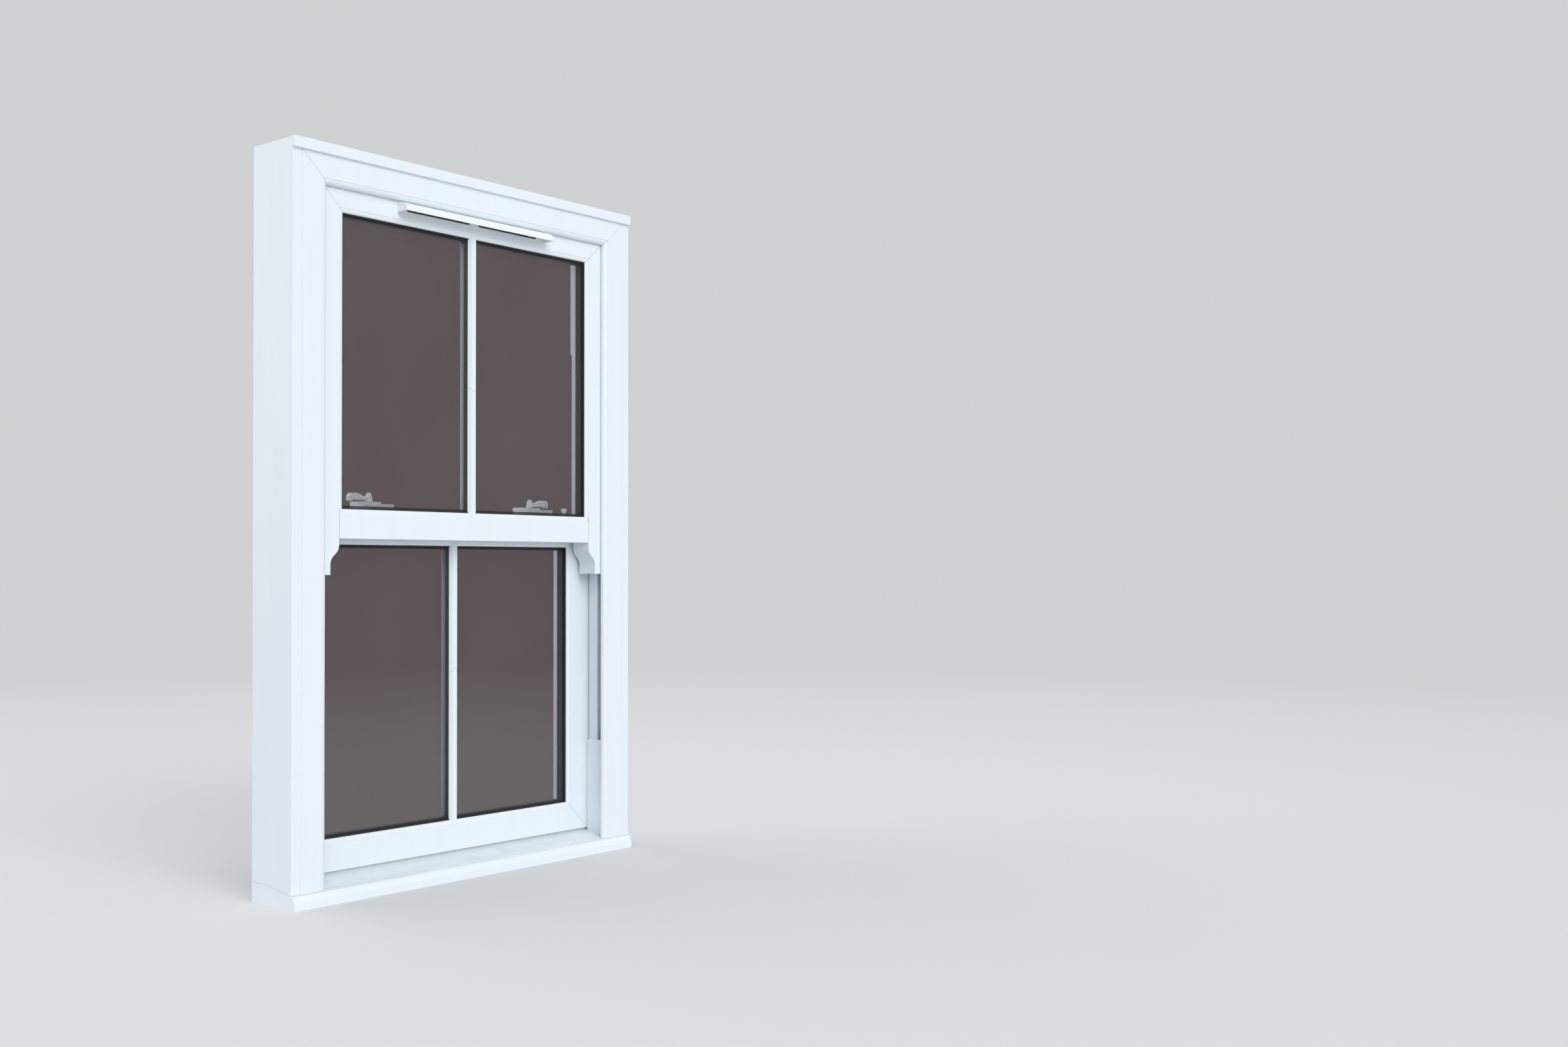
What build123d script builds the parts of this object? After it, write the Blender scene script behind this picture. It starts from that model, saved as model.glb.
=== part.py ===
# Vertical sliding sash window: a box frame with sill, and two glazed sashes that slide past
# each other on spring balances. Sizes are in millimetres. X runs along the wall, to the right
# as seen from outside, Y runs from outside to inside and Z runs upwards. The origin is in the
# middle of the sill's flat underside.

import os
from math import radians, tan

from build123d import *

os.makedirs("parts", exist_ok=True)

# Overall size of the frame
frame_width = 920
frame_height = 1506
frame_depth = 135
wall = 2.8

# Head and jamb section, from the outer edge towards the opening
frame_face = 80
frame_body = 57
band_width = 22
band_step = 1.0
lip_depth = 12
frame_ovolo_width = 11
frame_ovolo_depth = 9
quirk = 0.8

# Balance pockets in the jambs
slot_lip = 4
slot_width = 14
pocket_depth = 20
pocket_width = 22

# Sill
sill_projection = 10
sill_nose_height = 15
sill_front_height = 28
sill_fall = 9
sill_seat_height = 41
sill_upstand_height = 62
sill_upstand_width = 5
sill_groove_width = 1.4
sill_groove_depth = 0.5
sill_groove_places = (12, 26)
sill_cap_thickness = 3
sill_cap_proud = 1

# Strip along the top of the head
strip_height = 22
strip_proud = 6
strip_edge_radius = 1.2

# Sash section, from its outer edge towards the glass
sash_depth = 52
sash_face = 66
sash_ovolo_width = 9
sash_ovolo_depth = 5
flange_depth = 6
rebate_height = 15
glass_cover = 11
side_clearance = 3.5
head_clearance = 3.5
lip_gap = 2
sash_gap = 10

# Heights of the sashes at rest
lower_sash_bottom = 47
upper_rail_bottom = 724
upper_rail_face = 59.5
lower_sash_top = 785
lower_rail_face = 72
sash_travel = 390
stop_clearance = 4

# Sash horns
horn_length = 73
horn_straight = 12
horn_curve = 41
horn_tip_width = 36.5

# Sealed glass units
pane_thickness = 4
cavity_width = 16
gasket_thickness = 1.5
gasket_show = 2.5
spacer_width = 18

# Astragal bars
bar_width = 22
bar_front_width = 12
bar_depth = 7
cavity_bar_width = 12
cavity_bar_clearance = 2
bead_chamfer = 3

# Meeting rail interlock
hook_thickness = 2
hook_gap = 1.5
hook_length = 16
hook_root_height = 8
hook_overlap = 8

# Trickle vent
canopy_length = 406
canopy_depth = 32
canopy_height = 21
canopy_edge = 4
canopy_wall = 2
canopy_cap = 3
canopy_gap = 2
vent_slot_height = 12
vent_slot_length = 170
vent_slot_gap = 20
vent_flange_length = 410
vent_flange_height = 26
vent_flange_thickness = 1
vent_box_length = 398
vent_box_height = 18
vent_box_depth = 8
vent_clearance = 0.2
vent_port_length = 16
vent_port_height = 9
vent_port_pitch = 34
vent_port_count = 10
shutter_length = 352
shutter_height = 14
shutter_thickness = 2.4
shutter_travel = 17
tab_length = 8
tab_height = 5

# Catches
catch_inset = 120.5
catch_setback = 7.5
housing_length = 56
housing_depth = 34
housing_height = 18
housing_wall = 2.5
cam_reach = 25
cam_thickness = 3.5
cam_height = 4
dome_radius = 8
dome_height = 19
lever_length = 51
lever_tail = 12
lever_tail_width = 17
lever_tail_height = 17.5
lever_tail_taper = 2
lever_thumb = 6
lever_neck_width = 10
lever_neck_height = 9
lever_lift = 3.5
spindle_radius = 3
spindle_clearance = 0.05
keeper_length = 76
keeper_depth = 15
keeper_height = 15
keeper_wall = 2.5
keeper_inset = 3
housing_front = 1
cam_width = 7
cam_gap = 1.5
lever_gap = 0.3

# Tilt latches
latch_length = 78
latch_case_width = 15
latch_case_depth = 11
latch_case_wall = 1.2
latch_plate_thickness = 1.6
latch_plate_rim = 3
latch_clearance = 0.3
latch_bolt_reach = 7
latch_travel = 9
latch_bolt_length = 67.5
latch_stem = 6
knob_setback = 60.5
flush_knob_length = 10
knob_radius = 7
knob_height = 19
flush_knob_height = 1.4

# Sash lifts
lift_inset = 142.5
lift_width = 44
lift_height = 30
lift_plate = 3
lift_reach = 24
lift_lip = 12
lift_gap = 4

# Spring balances
tube_radius = 8
tube_wall = 1.2
tube_top_gap = 12
tube_shoe_gap = 21
screw_below_top = 8
rod_radius = 3
shoe_height = 40
shoe_clearance = 0.5
pivot_radius = 5
pivot_height = 32
pivot_reach = 14
pivot_clearance = 0.2
screw_radius = 2
screw_head_radius = 4
screw_head_height = 2

# Track stops
stop_thickness = 7
stop_gap = 0.8
stop_edge_radius = 1.5
rod_top_gap = 6

# Seals
pile_width = 4.5
pile_depth = 3
pile_inset = 6
pile_clearance = 0.3
foam_width = 12
foam_clearance = 0.5

# Places worked out from the sizes above
half_width = frame_width / 2
outside = -frame_depth / 2
inside = frame_depth / 2
running_x = half_width - frame_body
sash_x = running_x - side_clearance
upper_y = outside + lip_depth + lip_gap
lower_y = upper_y + sash_depth + sash_gap
upper_track = lip_depth + lip_gap + sash_depth / 2
lower_track = upper_track + sash_depth + sash_gap
pocket_back = frame_body - slot_lip - pocket_depth
pocket_x = half_width - pocket_back - pocket_depth / 2
head_underside = frame_height - frame_body
upper_sash_top = head_underside - head_clearance
stile_flat = sash_face - sash_ovolo_width
rebate_floor = sash_face - rebate_height
glass_depth = flange_depth + gasket_thickness
unit_thickness = 2 * pane_thickness + cavity_width
bead_start = glass_depth + unit_thickness + gasket_thickness
joint_x = sash_x - stile_flat
glass_x = sash_x - sash_face
upper_glass_bottom = upper_rail_bottom + upper_rail_face
upper_glass_top = upper_sash_top - sash_face
lower_glass_bottom = lower_sash_bottom + sash_face
lower_glass_top = lower_sash_top - lower_rail_face
horn_bottom = upper_rail_bottom - horn_length
floor_x = sash_x - rebate_floor
vent_z = frame_height - frame_face - canopy_gap - canopy_height / 2
pile_places = (pile_inset, sash_depth - pile_inset - pile_width)
upper_pivot = upper_rail_bottom + pivot_height
lower_pivot = lower_sash_bottom + pivot_height
tube_top = head_underside - tube_top_gap
tube_length = tube_top - upper_pivot - shoe_height / 2 - tube_shoe_gap
screw_height = tube_top - screw_below_top
catch_offset = joint_x - catch_inset
lift_offset = joint_x - lift_inset


def chamber(left, low, right, high):
    """Cut a rectangular chamber out of the sketch that is being drawn."""
    with Locations(((left + right) / 2, (low + high) / 2)):
        Rectangle(right - left, high - low, mode=Mode.SUBTRACT)


def frame_section():
    """Head and jamb section: X from the outer edge, Y from the outside face."""
    curve_x = frame_face - frame_ovolo_width
    curve_end = quirk + frame_ovolo_depth
    with BuildSketch() as section:
        with BuildLine():
            front = Polyline(
                (0, band_step), (band_width, band_step), (band_width, 0), (curve_x, 0), (curve_x, quirk)
            )
            nose = EllipticalCenterArc(
                (curve_x, curve_end), frame_ovolo_width, frame_ovolo_depth, start_angle=270, arc_size=90
            )
            Polyline(
                nose @ 1,
                (frame_face, lip_depth),
                (frame_body, lip_depth),
                (frame_body, frame_depth),
                (0, frame_depth),
                front @ 0,
            )
        make_face()
        for track in (upper_track, lower_track):
            chamber(frame_body - slot_lip, track - slot_width / 2, frame_body, track + slot_width / 2)
            chamber(
                pocket_back,
                track - pocket_width / 2,
                pocket_back + pocket_depth,
                track + pocket_width / 2,
            )
        back_span = (frame_depth - band_step - 4 * wall) / 3
        for count in range(3):
            low = band_step + wall + count * (back_span + wall)
            chamber(wall, low, pocket_back - wall, low + back_span)
        land_low = upper_track + pocket_width / 2 + wall
        land_high = lower_track - pocket_width / 2 - wall
        chamber(pocket_back, land_low, frame_body - wall, land_high)
        chamber(pocket_back, wall, frame_body - wall, upper_track - pocket_width / 2 - wall)
        inner_low = lower_track + pocket_width / 2 + wall
        chamber(pocket_back, inner_low, frame_body - wall, frame_depth - wall)
        chamber(frame_body, wall, curve_x - wall / 2, lip_depth - wall)
    return section.sketch


def sill_outline():
    """Sill section without its chambers, drawn with Y across and Z up."""
    nose = outside - sill_projection
    top_front = outside - sill_projection / 5
    slope_end = top_front + (sill_seat_height - sill_front_height) / tan(radians(sill_fall))
    with BuildSketch(Plane.YZ) as outline:
        with BuildLine():
            face = Line((nose, 0), (nose, sill_nose_height))
            step = Line(face @ 1, (nose + 1, sill_nose_height + 1))
            brow = RadiusArc(step @ 1, (top_front, sill_front_height), 16)
            Polyline(
                brow @ 1,
                (slope_end, sill_seat_height),
                (inside - sill_upstand_width, sill_seat_height),
                (inside - sill_upstand_width, sill_upstand_height),
                (inside, sill_upstand_height),
                (inside, 0),
                face @ 0,
            )
        make_face()
    return outline.sketch_local


def sash_outline(face):
    """Sash section without its chambers: X from the sash's edge, Y from its outer face."""
    curve_x = face - sash_ovolo_width
    with BuildSketch() as outline:
        with BuildLine():
            front = Polyline((0, 0), (curve_x, 0), (curve_x, quirk))
            bead = EllipticalCenterArc(
                (curve_x, sash_ovolo_depth),
                sash_ovolo_width,
                sash_ovolo_depth - quirk,
                start_angle=270,
                arc_size=90,
            )
            Polyline(
                bead @ 1,
                (face, flange_depth),
                (face - rebate_height, flange_depth),
                (face - rebate_height, sash_depth),
                (0, sash_depth),
                front @ 0,
            )
        make_face()
    return outline.sketch


def sash_section(face, grooved=True):
    """Sash section with two chambers and, in its edge, the grooves for the pile seals."""
    middle = sash_depth / 2
    start = wall
    with BuildSketch() as section:
        add(sash_outline(face))
        if grooved:
            start = pile_depth + wall
            for low in pile_places:
                chamber(0, low, pile_depth, low + pile_width)
        chamber(start, wall, face - rebate_height - wall, middle - wall / 2)
        chamber(start, middle + wall / 2, face - rebate_height - wall, sash_depth - wall)
    return section.sketch


def mitre(corner_x, corner_z, up, right):
    """Plane of a mitred corner, which faces away from the upright piece."""
    return Plane(origin=(corner_x, 0, corner_z), z_dir=(right, 0, up))


def save(piece, name):
    """Label a finished piece and write its file."""
    piece.part.label = name
    export_step(piece.part, f"parts/{name}.step")


def save_mirrored(piece, name):
    """Write the twin of a piece on the other side of the window."""
    with BuildPart() as twin:
        mirror(piece.part, about=Plane.YZ)
    save(twin, name)


def pair(piece):
    """The piece and its twin on the other side, as two solids."""
    with BuildPart() as both:
        add(piece.part)
        mirror(piece.part, about=Plane.YZ)
    return both


# Outer frame: the head and jambs are one section, mitred at the top corners
head_plane = Plane(origin=(-half_width, outside, frame_height), x_dir=(0, 0, -1), z_dir=(1, 0, 0))
with BuildPart() as frame_head:
    with BuildSketch(head_plane):
        add(frame_section())
    extrude(amount=frame_width)
    split(bisect_by=mitre(-half_width, frame_height, 1, 1), keep=Keep.TOP)
    split(bisect_by=mitre(half_width, frame_height, 1, -1), keep=Keep.TOP)
save(frame_head, "frame_head")

with BuildPart() as frame_jamb_left:
    with BuildSketch(Plane(origin=(-half_width, outside, 0))):
        add(frame_section())
    extrude(amount=frame_height)
    split(bisect_by=mitre(-half_width, frame_height, 1, 1), keep=Keep.BOTTOM)
    with BuildSketch(Plane.YZ.offset(-frame_width)):
        add(sill_outline())
    extrude(amount=2 * frame_width, mode=Mode.SUBTRACT)
    for track in (upper_track, lower_track):
        screw_spot = (-half_width + pocket_back, outside + track, screw_height)
        with Locations(Plane(origin=screw_spot, z_dir=(1, 0, 0))):
            Cylinder(screw_radius, 2 * wall, mode=Mode.SUBTRACT)
save(frame_jamb_left, "frame_jamb_left")
save_mirrored(frame_jamb_left, "frame_jamb_right")

# Sill: hollow section with a drip groove under the nose
sill_length = frame_width - 2 * sill_cap_thickness
with BuildPart() as frame_sill:
    with BuildSketch(Plane.YZ.offset(-sill_length / 2)):
        add(sill_outline())
        front_y = outside - sill_projection
        for low, high, top in (
            (front_y + 5 * wall, outside + 22, sill_front_height - 2 * wall),
            (outside + 22 + wall, 0, sill_front_height + wall),
            (wall, inside - wall, sill_seat_height - wall),
        ):
            chamber(low, wall, high, top)
        chamber(front_y + wall, 0, front_y + 2 * wall, wall)
        for place in sill_groove_places:
            groove_y = outside + place
            rise = (groove_y - outside + sill_projection / 5) * tan(radians(sill_fall))
            with Locations(Location((groove_y, sill_front_height + rise), sill_fall)):
                Rectangle(sill_groove_width, 2 * sill_groove_depth, mode=Mode.SUBTRACT)
    extrude(amount=sill_length)
save(frame_sill, "frame_sill")

with BuildPart() as sill_end_cap:
    with BuildSketch(Plane.YZ.offset(sill_length / 2)):
        add(sill_outline())
    extrude(amount=sill_cap_thickness)
    with BuildSketch(Plane.YZ.offset(sill_length / 2)):
        with Locations((outside - sill_projection, 0)):
            Rectangle(
                sill_projection - sill_cap_proud,
                sill_nose_height + sill_cap_proud,
                align=(Align.MIN, Align.MIN),
            )
        offset(amount=sill_cap_proud)
        with Locations((outside - sill_projection, 0)):
            below = 4 * sill_projection
            Rectangle(below, below, align=(Align.CENTER, Align.MAX), mode=Mode.SUBTRACT)
    extrude(amount=sill_cap_thickness)
sill_end_caps = pair(sill_end_cap)
save(sill_end_caps, "sill_end_caps")

# Strip that covers the joint above the head
with BuildPart() as head_cover_strip:
    with BuildSketch(Plane.YZ.offset(-half_width)):
        with Locations((outside + band_step, frame_height)):
            Rectangle(strip_proud + band_step, strip_height, align=(Align.MAX, Align.MAX))
    extrude(amount=frame_width)
    front_edges = head_cover_strip.faces().sort_by(Axis.Y)[0].edges().filter_by(Axis.X)
    fillet(front_edges, radius=strip_edge_radius)
save(head_cover_strip, "head_cover_strip")

# Weather seal on the sill, under the bottom rail
foam_height = lower_sash_bottom - sill_seat_height - foam_clearance
with BuildPart() as sill_foam_strip:
    with BuildSketch(Plane.XY.offset(sill_seat_height)):
        with Locations((0, lower_y + foam_width)):
            Rectangle(2 * sash_x, foam_width)
    extrude(amount=foam_height)
    fillet(sill_foam_strip.edges().filter_by(Axis.X).group_by(Axis.Z)[-1], radius=foam_height / 3)
save(sill_foam_strip, "sill_foam_strip")


def track_stop(low, high, front, back):
    """Cover that closes a length of one track and stops its sash: a channel open to the jamb."""
    middle = (front + back) / 2
    with BuildPart() as stop:
        with BuildSketch(Plane.XY.offset(low)):
            with Locations((-running_x, middle)):
                Rectangle(stop_thickness, back - front, align=(Align.MIN, Align.CENTER))
        extrude(amount=high - low)
        with BuildSketch(Plane.XY.offset(low + wall)):
            with Locations((-running_x, middle)):
                Rectangle(stop_thickness - wall, back - front - 2 * wall, align=(Align.MIN, Align.CENTER))
        extrude(amount=high - low - 2 * wall, mode=Mode.SUBTRACT)
        face_edges = stop.faces().sort_by(Axis.X)[-1].edges()
        fillet(face_edges, radius=stop_edge_radius)
    return stop


outer_stop_top = horn_bottom - sash_travel - stop_clearance
with BuildPart() as outer_stop:
    add(track_stop(0, outer_stop_top, outside + lip_depth + stop_gap, lower_y - stop_gap).part)
    with BuildSketch(Plane.YZ.offset(-frame_width)):
        add(sill_outline())
    extrude(amount=2 * frame_width, mode=Mode.SUBTRACT)
save(pair(outer_stop), "outer_track_stops")

inner_stop_low = lower_sash_top + sash_travel + stop_clearance
inner_stop = track_stop(inner_stop_low, head_underside, lower_y + stop_gap, inside - stop_gap)
save(pair(inner_stop), "inner_track_stops")

# Spring balances: a tube hangs in each pocket and its rod runs down to the sash's shoe


def balance_tube(track):
    """Tube with a closed and drilled top, open at the bottom."""
    with BuildPart() as tube:
        with BuildSketch(Plane.XY.offset(tube_top - tube_length)):
            with Locations((-pocket_x, outside + track)):
                Circle(tube_radius)
                Circle(tube_radius - tube_wall, mode=Mode.SUBTRACT)
        extrude(amount=tube_length)
        with BuildSketch(Plane.XY.offset(tube_top - 2 * tube_radius)):
            with Locations((-pocket_x, outside + track)):
                Rectangle(2 * tube_radius, 2 * tube_radius - 2 * tube_wall)
        extrude(amount=2 * tube_radius)
        with Locations(Plane(origin=(-pocket_x, outside + track, screw_height), z_dir=(1, 0, 0))):
            Cylinder(screw_radius, 4 * tube_radius, mode=Mode.SUBTRACT)
    return tube


save(pair(balance_tube(upper_track)), "upper_balance_tubes")
save(pair(balance_tube(lower_track)), "lower_balance_tubes")

with BuildPart() as balance_screw:
    for track in (upper_track, lower_track):
        shank_start = -half_width + pocket_back - wall
        head_start = -pocket_x + tube_radius
        with BuildSketch(Plane(origin=(shank_start, outside + track, screw_height), z_dir=(1, 0, 0))):
            Circle(screw_radius)
        extrude(amount=head_start - shank_start)
        with BuildSketch(Plane(origin=(head_start, outside + track, screw_height), z_dir=(1, 0, 0))):
            Circle(screw_head_radius)
        extrude(amount=screw_head_height)
save(pair(balance_screw), "balance_screws")


def balance_rod(track, shoe_top):
    """Twisted rod, shown by its outer diameter, from the shoe up into the tube."""
    with BuildPart() as rod:
        with BuildSketch(Plane.XY.offset(shoe_top)):
            with Locations((-pocket_x, outside + track)):
                Circle(rod_radius)
        extrude(amount=tube_top - 2 * tube_radius - rod_top_gap - sash_rise(track) - shoe_top)
    return rod


def sash_rise(track):
    """How far the sash in this track can rise from rest."""
    if track == lower_track:
        return sash_travel
    return 0


def balance_shoe(track, pivot):
    """Block that runs in the pocket, with the pivot bar that carries the sash's stile."""
    with BuildPart() as shoe:
        with BuildSketch(Plane.XY.offset(pivot - shoe_height / 2)):
            with Locations((-pocket_x, outside + track)):
                Rectangle(pocket_depth - 2 * shoe_clearance, pocket_width - 2 * shoe_clearance)
        extrude(amount=shoe_height)
        chamfer(shoe.edges().filter_by(Axis.Z), length=1)
        with BuildSketch(Plane(origin=(-pocket_x, outside + track, pivot), z_dir=(1, 0, 0))):
            Circle(pivot_radius)
        extrude(amount=pocket_x - sash_x + pivot_reach)
    return shoe


for track, pivot, sash in ((upper_track, upper_pivot, "upper"), (lower_track, lower_pivot, "lower")):
    shoe = balance_shoe(track, pivot)
    save(shoe, f"{sash}_shoe_left")
    save_mirrored(shoe, f"{sash}_shoe_right")
    save(pair(balance_rod(track, pivot + shoe_height / 2)), f"{sash}_balance_rods")


def pivot_hole(track, pivot):
    """Hole in the stile's edge for the pivot bar, cut in the part that is being made."""
    with Locations(Plane(origin=(-sash_x, outside + track, pivot), z_dir=(1, 0, 0))):
        Cylinder(pivot_radius + pivot_clearance, 2 * pivot_reach + 2, mode=Mode.SUBTRACT)


def latch_groove(track, top, side=-1):
    """Groove in a sash's top edge for a tilt latch, cut in the part that is being made."""
    with Locations((side * sash_x, outside + track, top)):
        Box(2 * latch_length, latch_case_width, 2 * latch_case_depth, mode=Mode.SUBTRACT)


# Upper sash: mitred at the top, with stiles that run on below the meeting rail as horns
upper_left = -sash_x
with BuildPart() as upper_stile_left:
    with BuildSketch(Plane(origin=(upper_left, upper_y, upper_rail_bottom))):
        add(sash_section(sash_face))
    extrude(amount=upper_sash_top - upper_rail_bottom)
    split(bisect_by=mitre(upper_left, upper_sash_top, 1, 1), keep=Keep.BOTTOM)
    with BuildSketch(Plane.YZ.offset(-joint_x)):
        with Locations((upper_y, upper_rail_bottom)):
            Rectangle(sash_depth, upper_rail_face - sash_ovolo_width, align=(Align.MIN, Align.MIN))
    extrude(amount=sash_ovolo_width + 1, mode=Mode.SUBTRACT)
    with BuildSketch(Plane((0, upper_y, 0), x_dir=(1, 0, 0), z_dir=(0, -1, 0))):
        curve_top = upper_rail_bottom - horn_straight
        curve_bottom = curve_top - horn_curve
        flat_x = upper_left + stile_flat
        tip_x = upper_left + horn_tip_width
        turn = ((flat_x + tip_x) / 2, (curve_top + curve_bottom) / 2)
        with BuildLine():
            side = Polyline((upper_left, horn_bottom), (upper_left, upper_rail_bottom))
            shoulder = Polyline(side @ 1, (flat_x, upper_rail_bottom), (flat_x, curve_top))
            belly = TangentArc(shoulder @ 1, turn, tangent=(0, -1))
            hollow = TangentArc(turn, (tip_x, curve_bottom), tangent=belly % 1)
            Polyline(hollow @ 1, (tip_x, horn_bottom), side @ 0)
        make_face()
    extrude(amount=-sash_depth)
    pivot_hole(upper_track, upper_pivot)
    latch_groove(upper_track, upper_sash_top)
save(upper_stile_left, "upper_stile_left")
save_mirrored(upper_stile_left, "upper_stile_right")

with BuildPart() as upper_top_rail:
    rail_plane = Plane(origin=(upper_left, upper_y, upper_sash_top), x_dir=(0, 0, -1), z_dir=(1, 0, 0))
    with BuildSketch(rail_plane):
        add(sash_section(sash_face))
    extrude(amount=2 * sash_x)
    split(bisect_by=mitre(-sash_x, upper_sash_top, 1, 1), keep=Keep.TOP)
    split(bisect_by=mitre(sash_x, upper_sash_top, 1, -1), keep=Keep.TOP)
    for side in (-1, 1):
        latch_groove(upper_track, upper_sash_top, side)
    with BuildSketch(Plane((0, upper_y, vent_z), x_dir=(1, 0, 0), z_dir=(0, -1, 0))):
        slot_step = (vent_slot_length + vent_slot_gap) / 2
        with Locations((-slot_step, 0), (slot_step, 0)):
            SlotOverall(vent_slot_length, vent_slot_height)
    extrude(amount=-sash_depth, mode=Mode.SUBTRACT)
    with Locations((0, upper_y + sash_depth - vent_box_depth / 2, vent_z)):
        Box(
            vent_box_length + 2 * vent_clearance,
            vent_box_depth,
            vent_box_height + 2 * vent_clearance,
            mode=Mode.SUBTRACT,
        )
save(upper_top_rail, "upper_top_rail")

upper_hook_top = upper_rail_bottom + hook_root_height + hook_length
with BuildPart() as upper_meeting_rail:
    rail_plane = Plane(origin=(floor_x, upper_y, upper_rail_bottom), x_dir=(0, 0, 1), z_dir=(-1, 0, 0))
    hook_back = sash_depth + sash_gap - 2 * hook_gap
    with BuildSketch(rail_plane):
        add(sash_section(upper_rail_face, grooved=False))
        with Locations((hook_root_height, sash_depth)):
            Rectangle(hook_thickness, hook_back - sash_depth, align=(Align.MIN, Align.MIN))
        with Locations((hook_root_height, hook_back)):
            Rectangle(hook_length, hook_thickness, align=(Align.MIN, Align.MAX))
    extrude(amount=2 * floor_x)
    add(upper_stile_left.part, mode=Mode.SUBTRACT)
    mirror(upper_stile_left.part, about=Plane.YZ, mode=Mode.SUBTRACT)
    for side in (-1, 1):
        with Locations((side * sash_x, upper_y + sash_depth, upper_rail_bottom)):
            Box(
                2 * stile_flat,
                2 * sash_gap,
                4 * sash_face,
                align=(Align.CENTER, Align.MIN, Align.CENTER),
                mode=Mode.SUBTRACT,
            )
save(upper_meeting_rail, "upper_meeting_rail")

# Lower sash: mitred at the bottom, with the top rail let in between the stiles
with BuildPart() as lower_stile_left:
    with BuildSketch(Plane(origin=(-sash_x, lower_y, lower_sash_bottom))):
        add(sash_section(sash_face))
    extrude(amount=lower_sash_top - lower_sash_bottom)
    split(bisect_by=mitre(-sash_x, lower_sash_bottom, -1, 1), keep=Keep.BOTTOM)
    with BuildSketch(Plane.YZ.offset(-joint_x)):
        with Locations((lower_y, lower_sash_top)):
            Rectangle(sash_depth, lower_rail_face - sash_ovolo_width, align=(Align.MIN, Align.MAX))
    extrude(amount=sash_ovolo_width + 1, mode=Mode.SUBTRACT)
    with BuildSketch(Plane.XY.offset(lower_sash_top - wall)):
        with Locations((-sash_x, lower_y)):
            Rectangle(rebate_floor, sash_depth, align=(Align.MIN, Align.MIN))
    extrude(amount=wall)
    pivot_hole(lower_track, lower_pivot)
    latch_groove(lower_track, lower_sash_top)
save(lower_stile_left, "lower_stile_left")
save_mirrored(lower_stile_left, "lower_stile_right")

with BuildPart() as lower_bottom_rail:
    rail_plane = Plane(origin=(sash_x, lower_y, lower_sash_bottom), x_dir=(0, 0, 1), z_dir=(-1, 0, 0))
    with BuildSketch(rail_plane):
        add(sash_section(sash_face, grooved=False))
    extrude(amount=2 * sash_x)
    split(bisect_by=mitre(-sash_x, lower_sash_bottom, -1, 1), keep=Keep.TOP)
    split(bisect_by=mitre(sash_x, lower_sash_bottom, -1, -1), keep=Keep.TOP)
save(lower_bottom_rail, "lower_bottom_rail")

with BuildPart() as lower_top_rail:
    rail_plane = Plane(origin=(-floor_x, lower_y, lower_sash_top), x_dir=(0, 0, -1), z_dir=(1, 0, 0))
    hook_front = -(sash_gap - hook_gap)
    leg_end = lower_sash_top - upper_hook_top + hook_overlap
    root = lower_sash_top - upper_hook_top - 2 * hook_gap - hook_thickness
    with BuildSketch(rail_plane):
        add(sash_section(lower_rail_face, grooved=False))
        with Locations((root, 0)):
            Rectangle(hook_thickness, -hook_front, align=(Align.MIN, Align.MAX))
        with Locations((root, hook_front)):
            Rectangle(leg_end - root, hook_thickness, align=(Align.MIN, Align.MIN))
    extrude(amount=2 * floor_x)
    add(lower_stile_left.part, mode=Mode.SUBTRACT)
    mirror(lower_stile_left.part, about=Plane.YZ, mode=Mode.SUBTRACT)
    for side in (-1, 1):
        with Locations((side * sash_x, lower_y, lower_sash_top)):
            Box(
                2 * stile_flat,
                2 * sash_gap,
                4 * sash_face,
                align=(Align.CENTER, Align.MAX, Align.CENTER),
                mode=Mode.SUBTRACT,
            )
        latch_groove(lower_track, lower_sash_top, side)
save(lower_top_rail, "lower_top_rail")


def bead_section():
    """Glazing bead: X from the floor of the rebate, Y from the sash's outer face."""
    top = rebate_height - 1
    with BuildSketch() as section:
        with BuildLine():
            Polyline(
                (0, bead_start),
                (top, bead_start),
                (top, sash_depth - bead_chamfer),
                (top - bead_chamfer, sash_depth),
                (0, sash_depth),
                close=True,
            )
        make_face()
    return section.sketch


def glazing_beads(y, low, high):
    """Four mitred beads round the inside of a glass unit."""
    low_floor = low - rebate_height
    high_floor = high + rebate_height
    with BuildPart() as level_beads:
        with BuildSketch(Plane(origin=(floor_x, y, low_floor), x_dir=(0, 0, 1), z_dir=(-1, 0, 0))):
            add(bead_section())
        extrude(amount=2 * floor_x)
        split(bisect_by=mitre(-floor_x, low_floor, -1, 1), keep=Keep.TOP)
        split(bisect_by=mitre(floor_x, low_floor, -1, -1), keep=Keep.TOP)
        mirror(level_beads.part, about=Plane.XY.offset((low + high) / 2))
    with BuildPart() as upright_beads:
        with BuildSketch(Plane(origin=(-floor_x, y, low_floor))):
            add(bead_section())
        extrude(amount=high_floor - low_floor)
        split(bisect_by=mitre(-floor_x, low_floor, -1, 1), keep=Keep.BOTTOM)
        split(bisect_by=mitre(-floor_x, high_floor, 1, 1), keep=Keep.BOTTOM)
        mirror(upright_beads.part, about=Plane.YZ)
    with BuildPart() as beads:
        add(level_beads.part)
        add(upright_beads.part)
    return beads


def slab(y, thickness, low, high, margin, hollow_margin=None):
    """Upright rectangular slab, or ring, whose edges lie a margin outside the clear glass."""
    with BuildPart() as piece:
        with BuildSketch(Plane((0, y, (low + high) / 2), x_dir=(1, 0, 0), z_dir=(0, -1, 0))):
            Rectangle(2 * (glass_x + margin), high - low + 2 * margin)
            if hollow_margin is not None:
                hollow = (2 * (glass_x + hollow_margin), high - low + 2 * hollow_margin)
                Rectangle(*hollow, mode=Mode.SUBTRACT)
        extrude(amount=-thickness)
    return piece


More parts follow.
